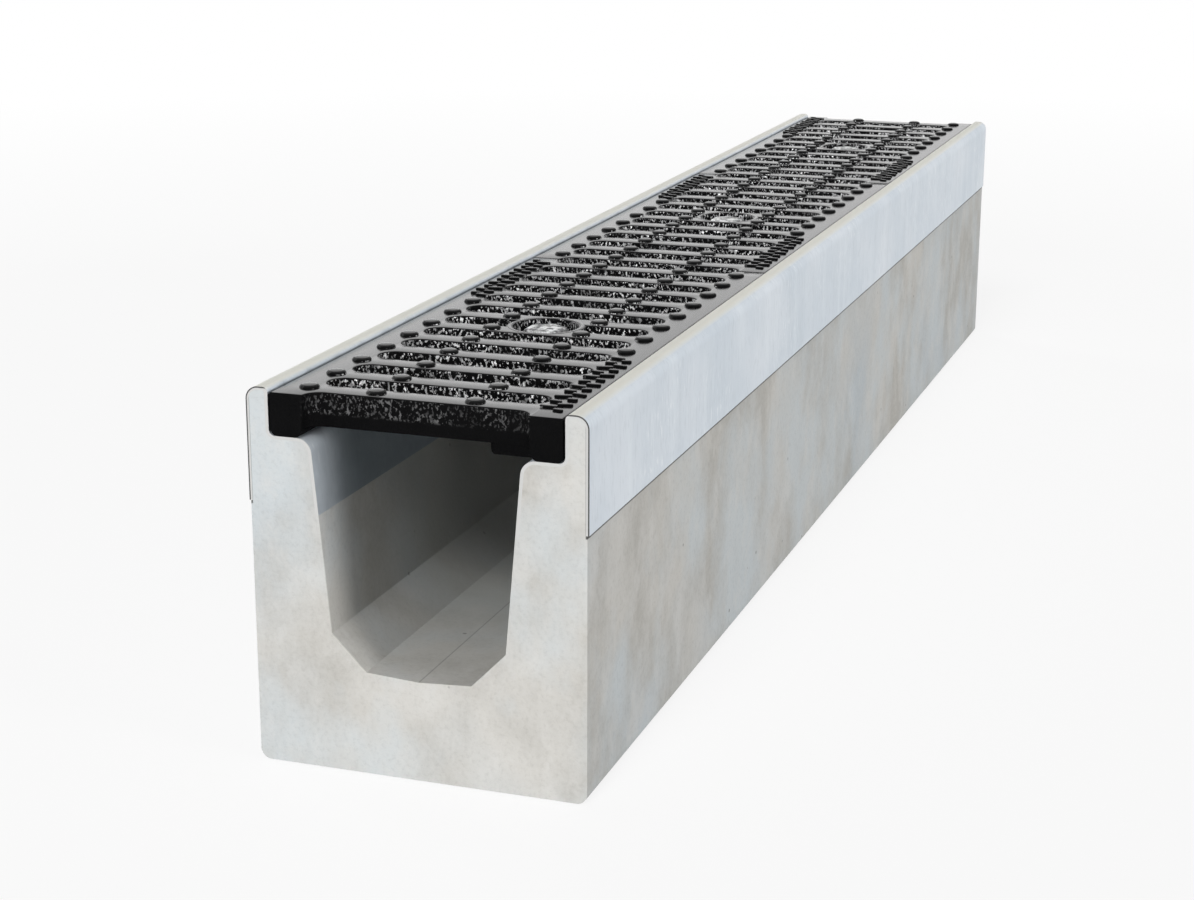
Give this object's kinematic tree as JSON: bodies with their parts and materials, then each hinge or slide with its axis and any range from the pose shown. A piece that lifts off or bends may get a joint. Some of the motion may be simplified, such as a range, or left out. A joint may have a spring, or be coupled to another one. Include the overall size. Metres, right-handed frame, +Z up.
{
  "type": "channel drain",
  "caption": "Concrete drainage channel with a tapered hollow, folded steel edge rails and bolted slotted cast iron grates.",
  "frame": {"origin": "middle of the underside, on the surface the channel is bedded on", "axes": "+Y along the channel towards its rear end, +X to the right across it, +Z up through the grates"},
  "size_m": [0.1616, 1, 0.178],
  "materials": {
    "concrete": "cast concrete, pale warm grey, softly mottled",
    "rail_steel": "hot-dip galvanised sheet",
    "fixing_steel": "galvanised, rough and bright",
    "coated_iron": "cast iron in glossy black coating"
  },
  "bodies": {
    "root": {"channel_body": "concrete", "left_edge_rail": "rail_steel", "right_edge_rail": "rail_steel", "left_anchor_1": "fixing_steel", "left_anchor_2": "fixing_steel", "left_anchor_3": "fixing_steel", "left_anchor_4": "fixing_steel", "right_anchor_1": "fixing_steel", "right_anchor_2": "fixing_steel", "right_anchor_3": "fixing_steel", "right_anchor_4": "fixing_steel", "front_grate": "coated_iron", "middle_grate": "coated_iron", "rear_grate": "coated_iron", "front_bolt": "fixing_steel", "middle_bolt": "fixing_steel", "rear_bolt": "fixing_steel", "front_washer": "fixing_steel", "middle_washer": "fixing_steel", "rear_washer": "fixing_steel", "front_crossbar": "fixing_steel", "middle_crossbar": "fixing_steel", "rear_crossbar": "fixing_steel"}
  },
  "joints": []
}
